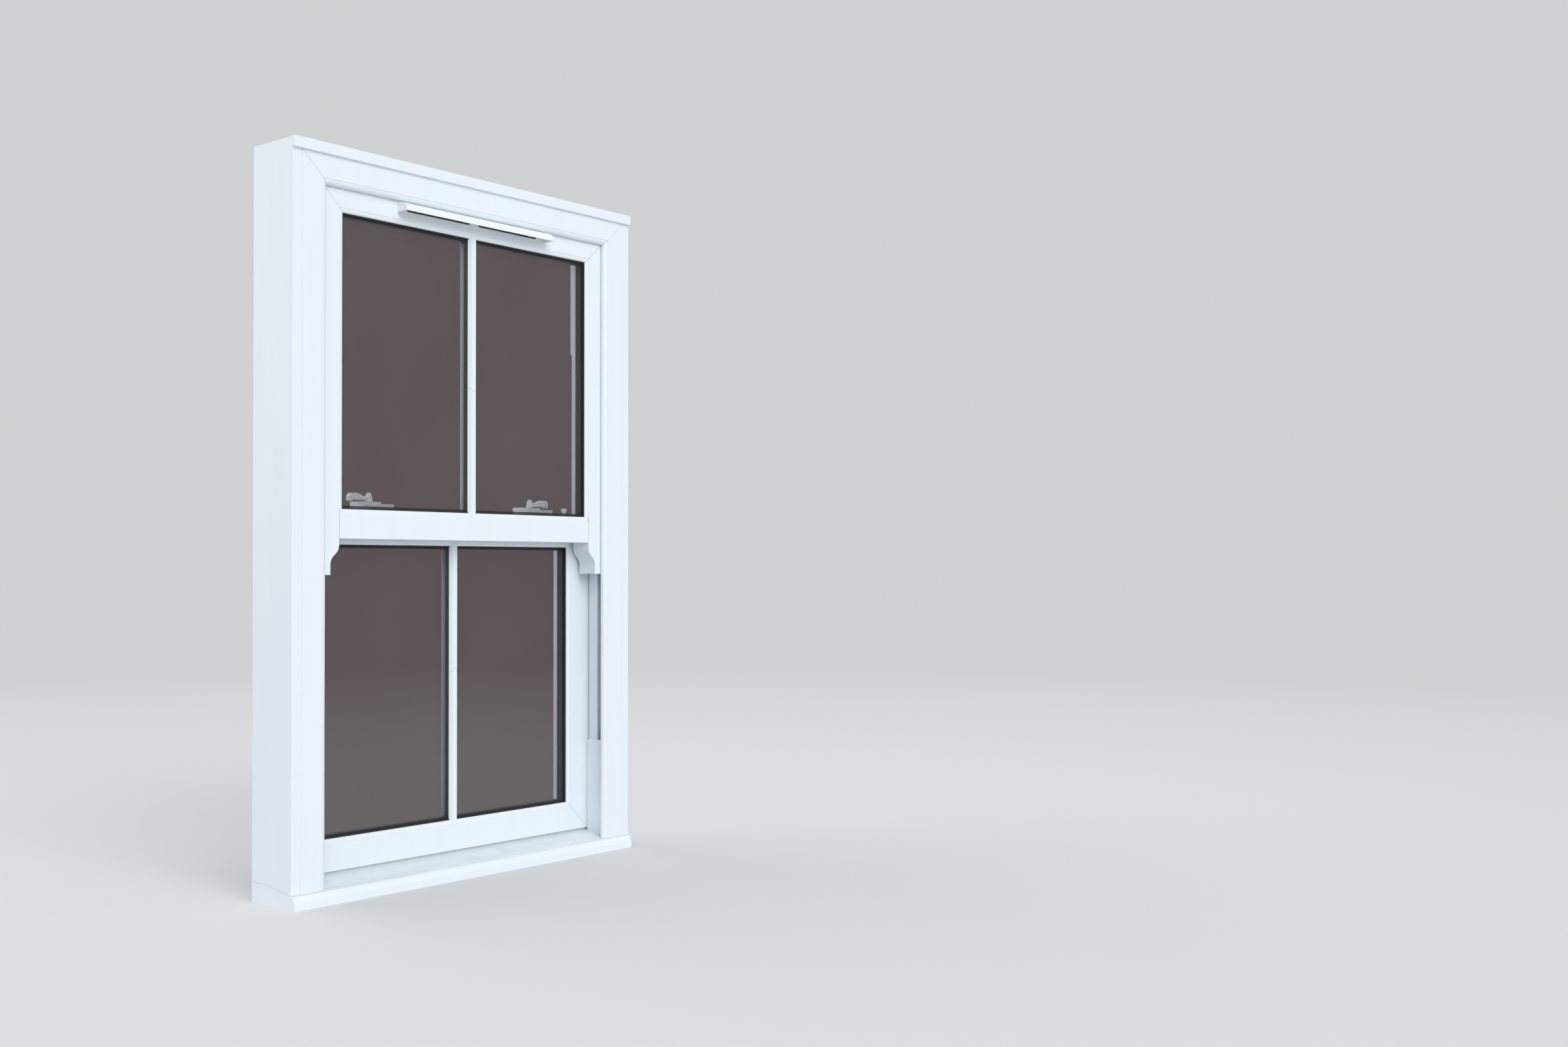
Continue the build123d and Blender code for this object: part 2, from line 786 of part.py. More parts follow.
def astragal(y_base, depth, low, high, fitted):
    """Upright bar on a pane, scribed over the pieces that it meets at its ends."""
    overlap = sash_ovolo_width
    with BuildPart() as bar:
        with BuildSketch(Plane.XY.offset(low - overlap)):
            with BuildLine():
                Polyline(
                    (-bar_width / 2, y_base),
                    (-bar_front_width / 2, y_base + depth),
                    (bar_front_width / 2, y_base + depth),
                    (bar_width / 2, y_base),
                    close=True,
                )
            make_face()
        extrude(amount=high - low + 2 * overlap)
        for piece in fitted:
            add(piece.part, mode=Mode.SUBTRACT)
    return bar


for sash, y, low, high, rails in (
    ("upper", upper_y, upper_glass_bottom, upper_glass_top, (upper_top_rail, upper_meeting_rail)),
    ("lower", lower_y, lower_glass_bottom, lower_glass_top, (lower_top_rail, lower_bottom_rail)),
):
    inner_face = y + glass_depth + unit_thickness
    save(slab(y + glass_depth, pane_thickness, low, high, glass_cover), f"{sash}_pane_outer")
    inner_start = inner_face - pane_thickness
    save(slab(inner_start, pane_thickness, low, high, glass_cover), f"{sash}_pane_inner")
    cavity_start = y + glass_depth + pane_thickness
    spacer = slab(cavity_start, cavity_width, low, high, glass_cover, glass_cover - spacer_width)
    save(spacer, f"{sash}_glass_spacer")
    outer_gasket = slab(y + flange_depth, gasket_thickness, low, high, glass_cover, -gasket_show)
    inner_gasket = slab(inner_face, gasket_thickness, low, high, glass_cover, -gasket_show)
    with BuildPart() as gaskets:
        add(outer_gasket.part)
        add(inner_gasket.part)
    save(gaskets, f"{sash}_gaskets")
    beads = glazing_beads(y, low, high)
    save(beads, f"{sash}_glazing_beads")
    save(astragal(y + glass_depth, -bar_depth, low, high, rails + (outer_gasket,)), f"{sash}_bar_outer")
    save(astragal(inner_face, bar_depth, low, high, (beads, inner_gasket)), f"{sash}_bar_inner")
    with BuildPart() as cavity_bar:
        bar_low = low - glass_cover + spacer_width
        bar_high = high + glass_cover - spacer_width
        bar_start = cavity_start + cavity_bar_clearance
        with Locations((0, bar_start, (bar_low + bar_high) / 2)):
            Box(
                cavity_bar_width,
                cavity_width - 2 * cavity_bar_clearance,
                bar_high - bar_low,
                align=(Align.CENTER, Align.MIN, Align.CENTER),
            )
    save(cavity_bar, f"{sash}_cavity_bar")

# Trickle vent: a hood outside, and a sliding shutter in a flanged body inside
canopy_bottom = vent_z - canopy_height / 2


def canopy_outline(inset):
    """Quarter-round section of the hood, drawn with Y across and Z up."""
    back = upper_y
    front = upper_y - canopy_depth + inset
    top = canopy_bottom + canopy_height - inset
    with BuildSketch(Plane.YZ) as outline:
        with BuildLine():
            rise = Line((back, canopy_bottom), (back, top))
            crown = EllipticalCenterArc(
                (back, canopy_bottom + canopy_edge),
                back - front,
                top - canopy_bottom - canopy_edge,
                start_angle=90,
                arc_size=90,
            )
            Polyline(crown @ 1, (front, canopy_bottom), rise @ 0)
        make_face()
    return outline.sketch_local


with BuildPart() as vent_canopy:
    hood_length = canopy_length - 2 * canopy_cap
    with BuildSketch(Plane.YZ.offset(-hood_length / 2)):
        add(canopy_outline(0))
        add(canopy_outline(canopy_wall), mode=Mode.SUBTRACT)
    extrude(amount=hood_length)
save(vent_canopy, "vent_canopy")

with BuildPart() as canopy_end:
    with BuildSketch(Plane.YZ.offset(-canopy_length / 2)):
        add(canopy_outline(0))
    extrude(amount=canopy_cap)
save(pair(canopy_end), "vent_end_caps")

vent_back = upper_y + sash_depth
port_spots = [(count - (vent_port_count - 1) / 2) * vent_port_pitch for count in range(vent_port_count)]
with BuildPart() as vent_body:
    with Locations((0, vent_back, vent_z)):
        Box(
            vent_flange_length,
            vent_flange_thickness,
            vent_flange_height,
            align=(Align.CENTER, Align.MIN, Align.CENTER),
        )
        Box(vent_box_length, vent_box_depth, vent_box_height, align=(Align.CENTER, Align.MAX, Align.CENTER))
        Box(
            shutter_length + 2 * shutter_travel + 4 * vent_clearance,
            shutter_thickness + 2 * vent_clearance,
            shutter_height + 2 * vent_clearance,
            align=(Align.CENTER, Align.MAX, Align.CENTER),
            mode=Mode.SUBTRACT,
        )
    with Locations([(spot, vent_back, vent_z) for spot in port_spots]):
        Box(vent_port_length, 3 * vent_box_depth, vent_port_height, mode=Mode.SUBTRACT)
    with Locations((shutter_travel / 2, vent_back, vent_z)):
        Box(
            tab_length + shutter_travel + 4 * vent_clearance,
            2 * vent_flange_thickness,
            tab_height + 4 * vent_clearance,
            mode=Mode.SUBTRACT,
        )
save(vent_body, "vent_body")

with BuildPart() as vent_shutter:
    with Locations((0, vent_back - vent_clearance, vent_z)):
        Box(
            shutter_length,
            shutter_thickness,
            shutter_height,
            align=(Align.CENTER, Align.MAX, Align.CENTER),
        )
        Box(
            tab_length,
            vent_flange_thickness,
            tab_height,
            align=(Align.CENTER, Align.MIN, Align.CENTER),
        )
    with Locations([(spot - shutter_travel, vent_back, vent_z) for spot in port_spots[1:]]):
        Box(vent_port_length, 3 * vent_box_depth, vent_port_height, mode=Mode.SUBTRACT)
save(vent_shutter, "vent_shutter")

# Catches: the cam turns out of the lower sash's housing into the keeper on the upper sash
catch_x = -catch_offset
catch_y = lower_y + catch_setback
housing_top = lower_sash_top + housing_height
cam_low = lower_sash_top + cam_height
with BuildPart() as catch_housing:
    with BuildSketch(Plane.XY.offset(lower_sash_top)):
        with Locations((catch_x, lower_y + housing_front)):
            Rectangle(housing_length, housing_depth, align=(Align.CENTER, Align.MIN))
    extrude(amount=housing_height)
    fillet(catch_housing.edges().filter_by(Axis.Z), radius=housing_wall)
    fillet(catch_housing.faces().sort_by(Axis.Z)[-1].edges(), radius=housing_wall / 2)
    with BuildSketch(Plane.XY.offset(lower_sash_top)):
        with Locations((catch_x, lower_y + housing_front + housing_wall)):
            Rectangle(
                housing_length - 2 * housing_wall,
                housing_depth - 2 * housing_wall,
                align=(Align.CENTER, Align.MIN),
            )
    extrude(amount=housing_height - housing_wall, mode=Mode.SUBTRACT)
    with Locations((catch_x - cam_width, lower_y, cam_low - cam_gap)):
        Box(
            cam_width + housing_length / 2 - housing_wall,
            4 * housing_wall,
            cam_thickness + 2 * cam_gap,
            align=(Align.MIN, Align.CENTER, Align.MIN),
            mode=Mode.SUBTRACT,
        )
    with Locations((catch_x, catch_y, housing_top)):
        Cylinder(spindle_radius + spindle_clearance, 4 * housing_wall, mode=Mode.SUBTRACT)
save(pair(catch_housing), "catch_housings")

lever_base = Plane((catch_x, catch_y, housing_top + lever_gap), x_dir=(1, 0, 0), z_dir=(0, -1, 0))
with BuildPart() as lever_arm:
    neck_end = lever_tail - lever_length
    with BuildSketch(lever_base):
        with BuildLine():
            under = Polyline(
                (0, lever_lift),
                (neck_end - lever_thumb, lever_lift),
                (neck_end - lever_thumb, lever_gap),
                (1 - lever_length, lever_gap),
                (-lever_length, lever_lift),
            )
            end = ThreePointArc(under @ 1, (1 - lever_length, 2 * lever_thumb), (neck_end, lever_tail_height))
            back = Spline(
                end @ 1,
                (-lever_length * 0.4, lever_neck_height + lever_lift),
                (0, lever_neck_height),
                tangents=[(1, 0), (1, 0)],
            )
            Line(back @ 1, under @ 0)
        make_face()
    extrude(amount=lever_tail_width / 2, both=True)
    with BuildSketch(Plane((catch_x, catch_y, housing_top))):
        with BuildLine():
            Polyline(
                (1, -lever_neck_width / 2),
                (neck_end, -lever_tail_width / 2),
                (-lever_length, -lever_tail_width / 2 + lever_tail_taper),
                (-lever_length, lever_tail_width / 2 - lever_tail_taper),
                (neck_end, lever_tail_width / 2),
                (1, lever_neck_width / 2),
                close=True,
            )
        make_face()
    extrude(amount=2 * dome_height, mode=Mode.INTERSECT)

with BuildPart() as catch_lever_left:
    with BuildSketch(Plane.XY.offset(cam_low)):
        with Locations((catch_x, catch_y)):
            Circle(cam_width)
        with Locations((catch_x + cam_reach / 2, catch_y)):
            SlotOverall(cam_reach, cam_width)
    extrude(amount=cam_thickness)
    with BuildSketch(Plane.XY.offset(cam_low)):
        with Locations((catch_x, catch_y)):
            Circle(spindle_radius)
    extrude(amount=housing_top - cam_low + lever_gap + 1)
    with BuildSketch(lever_base):
        with BuildLine():
            foot = Polyline((0, 0), (dome_radius, 0), (dome_radius * 0.86, dome_height * 0.5))
            crown = Spline(
                foot @ 1,
                (dome_radius * 0.6, dome_height * 0.85),
                (0, dome_height),
                tangents=[(0, 1), (-1, 0)],
            )
            Line(crown @ 1, foot @ 0)
        make_face()
    revolve(axis=Axis((catch_x, catch_y, 0), (0, 0, 1)))
    add(lever_arm.part)
save(catch_lever_left, "catch_lever_left")
save_mirrored(catch_lever_left, "catch_lever_right")

bead_top = upper_glass_bottom - 1
with BuildPart() as catch_keeper:
    with Locations((catch_x, upper_y + sash_depth - keeper_inset, bead_top)):
        Box(keeper_length, keeper_depth, keeper_height, align=(Align.CENTER, Align.MAX, Align.MIN))
    fillet(catch_keeper.faces().sort_by(Axis.Z)[-1].edges(), radius=keeper_wall / 2)
    with Locations((catch_x, upper_y + sash_depth - keeper_inset, bead_top + keeper_wall)):
        Box(
            keeper_length - 2 * keeper_wall,
            keeper_depth - keeper_wall,
            keeper_height - 2 * keeper_wall,
            align=(Align.CENTER, Align.MAX, Align.MIN),
            mode=Mode.SUBTRACT,
        )
save(pair(catch_keeper), "catch_keepers")


# Tilt latches, let into the ends of both sashes' top edges
def latch_case(track, top):
    """Left latch case: a tray in the groove, with a slotted cover plate on top of the sash."""
    y = outside + track
    with BuildPart() as case:
        with Locations((-sash_x, y, top)):
            Box(latch_length, latch_case_width, latch_case_depth, align=(Align.MIN, Align.CENTER, Align.MAX))
            Box(
                2 * (latch_length - latch_case_wall),
                latch_case_width - 2 * latch_case_wall,
                2 * (latch_case_depth - latch_case_wall),
                mode=Mode.SUBTRACT,
            )
            Box(
                latch_length + latch_plate_rim,
                latch_case_width + 2 * latch_plate_rim,
                latch_plate_thickness,
                align=(Align.MIN, Align.CENTER, Align.MIN),
            )
        with Locations((knob_setback + latch_travel / 2 - sash_x - latch_bolt_reach, y, top)):
            Box(
                latch_stem + latch_travel + 2 * latch_clearance,
                latch_stem + 2 * latch_clearance,
                4 * latch_plate_thickness,
                mode=Mode.SUBTRACT,
            )
    return case


def latch_bolt(track, top):
    """Left latch bolt with its stem, which comes up through the slot of the plate."""
    with BuildPart() as bolt:
        with Locations((-sash_x - latch_bolt_reach, outside + track, top - latch_clearance)):
            Box(
                latch_bolt_length,
                latch_case_width - 2 * (latch_case_wall + latch_clearance),
                latch_case_depth - latch_case_wall - 2 * latch_clearance,
                align=(Align.MIN, Align.CENTER, Align.MAX),
            )
        chamfer(bolt.faces().sort_by(Axis.X)[0].edges().filter_by(Axis.Y), length=knob_radius / 2)
        with Locations((knob_setback - sash_x - latch_bolt_reach, outside + track, top - 1)):
            Box(
                latch_stem,
                latch_stem,
                latch_plate_thickness + latch_clearance + 2,
                align=(Align.CENTER, Align.CENTER, Align.MIN),
            )
    return bolt


save(pair(latch_case(upper_track, upper_sash_top)), "upper_latch_cases")
save(pair(latch_case(lower_track, lower_sash_top)), "lower_latch_cases")

knob_x = knob_setback - sash_x - latch_bolt_reach
with BuildPart() as upper_latch_bolt_left:
    add(latch_bolt(upper_track, upper_sash_top).part)
    knob_base = upper_sash_top + latch_plate_thickness + latch_clearance
    with Locations((knob_x, outside + upper_track, knob_base)):
        Box(
            flush_knob_length,
            latch_case_width / 2,
            flush_knob_height - latch_clearance,
            align=(Align.CENTER, Align.CENTER, Align.MIN),
        )
save(upper_latch_bolt_left, "upper_latch_bolt_left")
save_mirrored(upper_latch_bolt_left, "upper_latch_bolt_right")

with BuildPart() as latch_knob:
    knob_spot = (knob_x, outside + lower_track, lower_sash_top + latch_plate_thickness + latch_clearance)
    with BuildSketch(Plane(knob_spot, x_dir=(1, 0, 0), z_dir=(0, -1, 0))):
        with BuildLine():
            rim_height = knob_height * 0.75
            waist = ThreePointArc(
                (knob_radius, 0),
                (knob_radius * 0.65, rim_height / 2),
                (knob_radius, rim_height),
            )
            cap = Spline(
                waist @ 1,
                (knob_radius * 0.75, knob_height * 0.93),
                (0, knob_height),
                tangents=[(0, 1), (-1, 0)],
            )
            Polyline(cap @ 1, (0, 0), waist @ 0)
        make_face()
    revolve(axis=Axis((knob_x, outside + lower_track, 0), (0, 0, 1)))

with BuildPart() as lower_latch_bolt_left:
    add(latch_bolt(lower_track, lower_sash_top).part)
    add(latch_knob.part)
save(lower_latch_bolt_left, "lower_latch_bolt_left")
save_mirrored(lower_latch_bolt_left, "lower_latch_bolt_right")

# Lifts on the inner face of the lower sash's bottom rail
lift_y = lower_y + sash_depth
lift_z = sill_upstand_height + lift_gap
with BuildPart() as sash_lift:
    with BuildSketch(Plane.YZ.offset(-lift_offset - lift_width / 2)):
        with BuildLine():
            plate = Polyline(
                (lift_y, lift_z),
                (lift_y, lift_z + lift_height),
                (lift_y + lift_plate, lift_z + lift_height),
                (lift_y + lift_plate, lift_z + lift_lip),
            )
            hollow = RadiusArc(plate @ 1, (lift_y + lift_reach - lift_plate, lift_z + lift_lip), -14)
            tip = Line(hollow @ 1, (lift_y + lift_reach, lift_z + lift_lip))
            belly = Spline(
                tip @ 1,
                (lift_y + lift_reach * 0.55, lift_z + 0.5),
                plate @ 0,
                tangents=[(0, -1), (-1, 0)],
            )
        make_face()
    extrude(amount=lift_width)
save(pair(sash_lift), "sash_lifts")

# Pile seals in the edges of the sashes
pile_end = 2 * pile_depth


def stile_piles(y, low, high):
    """Pile strips in the edges of both stiles of a sash."""
    with BuildPart() as piles:
        for place in pile_places:
            with Locations((-sash_x, y + place + pile_width / 2, low)):
                Box(pile_depth, pile_width, high - low, align=(Align.MIN, Align.CENTER, Align.MIN))
                Box(
                    side_clearance - pile_clearance,
                    pile_width / 2,
                    high - low,
                    align=(Align.MAX, Align.CENTER, Align.MIN),
                )
        mirror(about=Plane.YZ)
    return piles


with BuildPart() as upper_pile_seals:
    add(stile_piles(upper_y, upper_rail_bottom, upper_sash_top - pile_end).part)
    for place in pile_places:
        with Locations((0, upper_y + place + pile_width / 2, upper_sash_top)):
            run = 2 * (sash_x - pile_end)
            Box(run, pile_width, pile_depth, align=(Align.CENTER, Align.CENTER, Align.MAX))
            Box(
                run,
                pile_width / 2,
                head_clearance - pile_clearance,
                align=(Align.CENTER, Align.CENTER, Align.MIN),
            )
save(upper_pile_seals, "upper_pile_seals")
lower_piles = stile_piles(lower_y, lower_sash_bottom + pile_end, lower_sash_top - latch_case_depth)
save(lower_piles, "lower_pile_seals")
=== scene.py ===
# %% [markdown]
# # A vertical sliding sash window in Blender
# The CAD frame already holds every bar, pane, catch and balance of this window, at its real
# size and place. This lesson gives those parts their finishes and adds the small screws that a
# joiner would drive last. Everything is in metres: X runs along the window's width, Y from
# outside to inside and Z upwards, from the middle of the sill's underside. The CAD parts are
# never reshaped here, so all that slides and turns keeps its clearance.

# %% Load the fixed frame
import math

import bmesh
import bpy
from mathutils import Matrix, Vector


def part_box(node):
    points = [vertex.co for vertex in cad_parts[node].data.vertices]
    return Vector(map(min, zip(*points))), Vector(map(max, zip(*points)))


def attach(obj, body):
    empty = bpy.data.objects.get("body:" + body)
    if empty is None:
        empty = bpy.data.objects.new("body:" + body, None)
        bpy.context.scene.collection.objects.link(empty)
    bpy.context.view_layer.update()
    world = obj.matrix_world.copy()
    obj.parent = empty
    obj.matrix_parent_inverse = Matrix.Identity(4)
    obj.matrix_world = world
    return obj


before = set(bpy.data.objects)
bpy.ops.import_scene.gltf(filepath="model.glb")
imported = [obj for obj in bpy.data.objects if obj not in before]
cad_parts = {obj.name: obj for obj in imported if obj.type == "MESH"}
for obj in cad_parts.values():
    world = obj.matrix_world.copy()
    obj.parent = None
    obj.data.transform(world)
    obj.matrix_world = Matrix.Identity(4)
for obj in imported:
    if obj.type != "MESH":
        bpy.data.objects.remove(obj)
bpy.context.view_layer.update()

# %% [markdown]
# ## Shader maths that reads like arithmetic
# A weld line is "the distance to a slanted plane, where it is small". In the node editor that
# is a chain of Math nodes, wired one by one. A small class that wraps a socket lets the same
# thing be written as an expression: each operator adds its own node and gives back its output.
# The reflected forms make 1 - mask work as well as mask - 1.


# %% A socket that can be added, multiplied and compared
class Value:
    """A number that comes out of a node."""

    def __init__(self, nodes, socket):
        self.nodes = nodes
        self.socket = socket

    def maths(self, operation, first, second=0.0):
        """Add a Math node; an operation on one number leaves the second aside."""
        sockets = {0: first, 1: second}
        node = self.nodes.node("ShaderNodeMath", {"operation": operation}, sockets)
        return Value(self.nodes, node.outputs[0])

    def fold(self, width):
        """The number folded to and fro between 0 and a width, for a pattern that repeats."""
        return self.maths("PINGPONG", self, width)

    def __add__(self, other):
        return self.maths("ADD", self, other)

    def __radd__(self, other):
        return self.maths("ADD", other, self)

    def __sub__(self, other):
        return self.maths("SUBTRACT", self, other)

    def __rsub__(self, other):
        return self.maths("SUBTRACT", other, self)

    def __mul__(self, other):
        return self.maths("MULTIPLY", self, other)

    def __rmul__(self, other):
        return self.maths("MULTIPLY", other, self)

    def __abs__(self):
        return self.maths("ABSOLUTE", self)

    def __lt__(self, other):
        return self.maths("LESS_THAN", self, other)

    def __gt__(self, other):
        return self.maths("GREATER_THAN", self, other)


# %% [markdown]
# ## One way to add a node
# All node types work alike: they have settings, such as a Math node's operation, and sockets
# that hold a constant or take a link. Written out in full, each node takes half a dozen lines.
# One method that takes the type, the settings and the sockets keeps a finish down to what
# matters, and a few short methods on top of it name the nodes that come back again and again.


# %% A tree of nodes, of a material or of the world
class Nodes:
    """A node tree, and the ways to add to it."""

    def __init__(self, tree):
        self.tree = tree

    def node(self, kind, settings=None, sockets=None):
        """Add a node, give it its settings, then the values or links of its sockets."""
        node = self.tree.nodes.new(kind)
        for name, setting in (settings or {}).items():
            setattr(node, name, setting)
        for name, value in (sockets or {}).items():
            self.feed(node.inputs[name], value)
        return node

    def feed(self, socket, value):
        """Link a value or another socket to a socket, or set a constant on it."""
        if isinstance(value, Value):
            self.tree.links.new(value.socket, socket)
        elif isinstance(value, bpy.types.NodeSocket):
            self.tree.links.new(value, socket)
        else:
            socket.default_value = value

    def axes(self, vector):
        """The three numbers of a vector."""
        parts = self.node("ShaderNodeSeparateXYZ", {}, {0: vector})
        return [Value(self, socket) for socket in parts.outputs]

    def ramp(self, value, reach, result=(0.0, 1.0)):
        """Carry a value from its reach to a range of results, stopping at both ends."""
        low, high = reach
        start, end = result
        node = self.node("ShaderNodeMapRange", {}, {0: value, 1: low, 2: high, 3: start, 4: end})
        return Value(self, node.outputs[0])

    def colours(self, factor, first, second):
        """Mix two colours; either may itself be a colour socket."""
        mix = self.node("ShaderNodeMix", {"data_type": "RGBA"}, {0: factor})
        for socket, colour in ((mix.inputs[6], first), (mix.inputs[7], second)):
            self.feed(socket, (*colour, 1.0) if isinstance(colour, tuple) else colour)
        return mix.outputs[2]


# %% A finish for one kind of surface
class Finish(Nodes):
    """A material with one Principled shader, and patterns that are fixed to the object."""

    def __init__(self, name, colour, roughness, metallic=0.0):
        self.material = bpy.data.materials.new(name)
        self.material.use_nodes = True
        super().__init__(self.material.node_tree)
        self.surface = self.tree.nodes["Principled BSDF"]
        self.set("Base Color", (*colour, 1.0))
        self.set("Roughness", roughness)
        self.set("Metallic", metallic)
        self.place = self.node("ShaderNodeTexCoord").outputs["Object"]
        self.x, self.y, self.z = self.axes(self.place)

    def set(self, name, value):
        """Feed a socket of the surface itself."""
        self.feed(self.surface.inputs[name], value)

    def noise(self, scale, detail=3.0, stretch=(1, 1, 1)):
        """Cloudy noise; a stretch below 1 draws it out along that axis."""
        mapped = self.node("ShaderNodeMapping", {}, {"Vector": self.place, "Scale": stretch})
        sockets = {"Vector": mapped.outputs[0], "Scale": scale, "Detail": detail}
        return Value(self, self.node("ShaderNodeTexNoise", {}, sockets).outputs[0])

    def relief(self, height, depth, edge=0.0):
        """Bump the surface by a height from 0 to 1, over softly rounded edges."""
        sockets = {"Strength": 1.0, "Distance": depth, "Height": height}
        if edge:
            rounded = self.node("ShaderNodeBevel", {"samples": 4}, {"Radius": edge})
            sockets["Normal"] = rounded.outputs[0]
        self.set("Normal", self.node("ShaderNodeBump", {}, sockets).outputs[0])

    def done(self):
        """Say what was made, and hand the material over."""
        print(self.material.name, "has", len(self.tree.nodes), "nodes")
        return self.material


# %% [markdown]
# ## White PVC-U
# The bars are extruded plastic: almost white with a cool cast, satin, and very slightly wavy
# along their length. One even colour would look like card. So a noise drawn out along the
# uprights gives the waves, a very fine one gives the grain, and both feed the colour and the
# relief. Each corner is a mitre that was melted together and cleaned with a knife, which leaves
# a hairline groove. It could be cut into the mesh, but the mesh is the CAD's. It lies on a 45
# degree plane through the corner, so the distance to that plane, in Object coordinates, draws
# it and lets it travel with the sash.

# %% Where the corners are
MM = 0.001
_, head_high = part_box("frame_head")
_, upper_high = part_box("upper_top_rail")
lower_low, lower_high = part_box("lower_bottom_rail")
print("weld lines start at", head_high[0], upper_high[2], lower_low[2])

# %% Colours and sizes of the plastic
WHITE = (0.815, 0.865, 0.90)
SHADE = (0.50, 0.55, 0.61)
# Grime and painted contact shade, for the hairlines where pieces butt.
GRIME_AND_CONTACT_SHADE = (0.20, 0.19, 0.18)
# The noise filter takes a surface below a roughness of 0.27 for a mirror. A range that crosses
# it gets cloud-shaped outlines, so each range stays on one side of it.
SATIN = (0.29, 0.43)
SATIN_COAT = 0.15
SATIN_COAT_ROUGHNESS = 0.12
WAVE_SHADE = 0.12
WAVE_HEIGHT = 0.6
GRAIN_SHADE = 0.5
GRAIN_HEIGHT = 0.12
WELD_WIDTH = 0.8 * MM
WELD_SHADE = 0.75
WELD_HEIGHT = -0.8
SEAM_WIDTH = 0.5 * MM
SEAM_GRIME_AND_SHADE = 0.8
FULL_HEIGHT = 0.12 * MM
EDGE = 0.5 * MM
print("weld lines are", WELD_WIDTH / MM, "mm to each side, butt joints", SEAM_WIDTH / MM)


# %% White plastic
def plastic(name, corner=None, upwards=1, seam=None):
    """White PVC-U, with weld lines at its mitred corners and a hairline where pieces butt.

    The corner is the outermost width and height of the mitres, and the seam is a function
    that takes the finish and gives the distance to the butt joint.
    """
    finish = Finish(name, WHITE, SATIN[0])
    waves = finish.noise(scale=9, detail=2.0, stretch=(6, 6, 0.6))
    grain = finish.noise(scale=900, detail=1.0)
    cloud = finish.noise(scale=4, detail=1.0)
    shaded = finish.ramp(waves + grain * GRAIN_SHADE, (0.2, 1.4), (0.0, WAVE_SHADE))
    colour = finish.colours(shaded, WHITE, SHADE)
    height = waves * WAVE_HEIGHT + grain * GRAIN_HEIGHT
    if corner:
        across, up = corner
        off_mitre = (across - abs(finish.x)) - (up - finish.z) * upwards
        weld = abs(off_mitre) < WELD_WIDTH
        # The weld groove is dented in the relief and drawn darker in colour: painted shade in the
        # groove.
        colour = finish.colours(weld * WELD_SHADE, colour, SHADE)
        height = height + weld * WELD_HEIGHT
    if seam:
        # Where pieces butt, the hairline is grime with painted shade in the crack.
        joint = seam(finish) < SEAM_WIDTH
        colour = finish.colours(joint * SEAM_GRIME_AND_SHADE, colour, GRIME_AND_CONTACT_SHADE)
    finish.set("Base Color", colour)
    finish.set("Roughness", finish.ramp(cloud, (0.0, 1.0), SATIN))
    finish.set("Coat Weight", SATIN_COAT)
    finish.set("Coat Roughness", SATIN_COAT_ROUGHNESS)
    finish.relief(height, FULL_HEIGHT, EDGE)
    return finish.done()


# %% Bars of the lower sash, and pieces without a mitre
lower_corner = (lower_high[0], lower_low[2])
lower_white = plastic("lower sash white PVC-U", lower_corner, upwards=-1)
plain_white = plastic("plain white PVC-U")

# %% [markdown]
# ## Joints without a mitre
# Two joints only butt, and each has a dark hairline: grime that settles in it, and painted shade
# in the crack. The feet of the jambs are scribed to the slope of the sill, and the meeting rail
# ends at the flat of the two stiles.
# Both are drawn as a distance too: the height over the slope, and the distance to an upright
# plane that counts only as high as the rail. Where it is under half a millimetre is a joint.

# %% Feet of the jambs
sill_low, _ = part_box("frame_sill")
SLOPE_START = 8 * MM
SLOPE_HEIGHT = 28 * MM
SEAT_HEIGHT = 41 * MM
SLOPE_FALL = math.tan(math.radians(9))


def above_sill(finish):
    """Height over the sill's slope, up to the flat seat at its back."""
    start = sill_low[1] + SLOPE_START
    end = start + (SEAT_HEIGHT - SLOPE_HEIGHT) / SLOPE_FALL
    return finish.z - finish.ramp(finish.y, (start, end), (SLOPE_HEIGHT, SEAT_HEIGHT))


frame_corner = (head_high[0], head_high[2])
frame_white = plastic("frame white PVC-U", frame_corner, seam=above_sill)

# %% Ends of the meeting rail
meeting_low, meeting_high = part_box("upper_meeting_rail")
STILE_FLAT = 57 * MM
RAIL_END = upper_high[0] - STILE_FLAT
FAR_AWAY = 1.0


def beside_rail(finish):
    """Distance to the upright joint of stile and meeting rail, at the height of the rail."""
    middle = (meeting_low[2] + meeting_high[2]) / 2
    half_height = (meeting_high[2] - meeting_low[2]) / 2
    off_rail = abs(finish.z - middle) > half_height
    return abs(abs(finish.x) - RAIL_END) + off_rail * FAR_AWAY


upper_corner = (upper_high[0], upper_high[2])
upper_white = plastic("upper sash white PVC-U", upper_corner, seam=beside_rail)

# %% [markdown]
# ## The sill
# The sill is the same plastic, but it lies flat and catches what the rain leaves. Dust gathers
# in low cloudy patches along its slope. Painting it on would tie it to one picture, so its
# colour follows a noise drawn out along the sill, and only where the surface looks up.

# %% Sill finish
DUST = (0.66, 0.70, 0.74)
MOST_DUST = 0.5
CLEAN_TO_DUSTY = (0.28, 0.48)
LEVEL_ENOUGH = (0.6, 0.95)
SILL_GRAIN_DEPTH = 0.03 * MM
sill = Finish("sill white PVC-U", WHITE, CLEAN_TO_DUSTY[0])
_, _, facing_up = sill.axes(sill.node("ShaderNodeNewGeometry").outputs["Normal"])
looks_up = sill.ramp(facing_up, LEVEL_ENOUGH)
patches = sill.noise(scale=16, detail=6.0, stretch=(1.0, 3.0, 3.0))
settled = sill.ramp(patches, (0.38, 0.75), (0.0, MOST_DUST))
sill.set("Base Color", sill.colours(settled * looks_up, WHITE, DUST))
sill.set("Roughness", sill.ramp(settled, (0.0, MOST_DUST), CLEAN_TO_DUSTY))
sill.relief(sill.noise(scale=700, detail=1.0), SILL_GRAIN_DEPTH, EDGE)
sill_white = sill.done()

